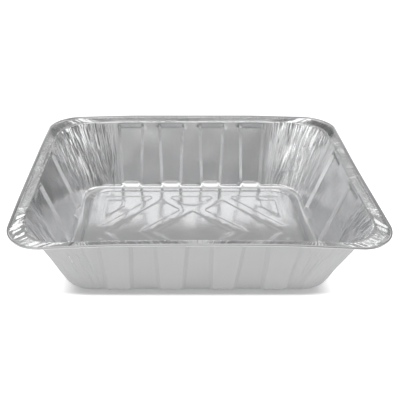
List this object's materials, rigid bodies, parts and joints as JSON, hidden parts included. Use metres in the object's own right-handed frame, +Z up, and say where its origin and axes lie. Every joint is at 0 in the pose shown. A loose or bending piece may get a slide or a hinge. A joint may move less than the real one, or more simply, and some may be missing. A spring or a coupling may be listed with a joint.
{
  "type": "foil roasting pan",
  "caption": "Deep rectangular foil roasting pan with sloping walls, pressed wall panels, gathered corners, a flanged rolled rim and an embossed floor.",
  "frame": {"origin": "middle of the footprint, on the surface that the pan rests on", "axes": "+X along the length, +Y across the width towards the back, +Z up"},
  "size_m": [0.426, 0.34, 0.1015],
  "materials": {
    "foil": "bright rolled foil, semi-gloss, with fine rolling lines and creases"
  },
  "bodies": {
    "root": {"foil_pan": "foil"}
  },
  "joints": []
}
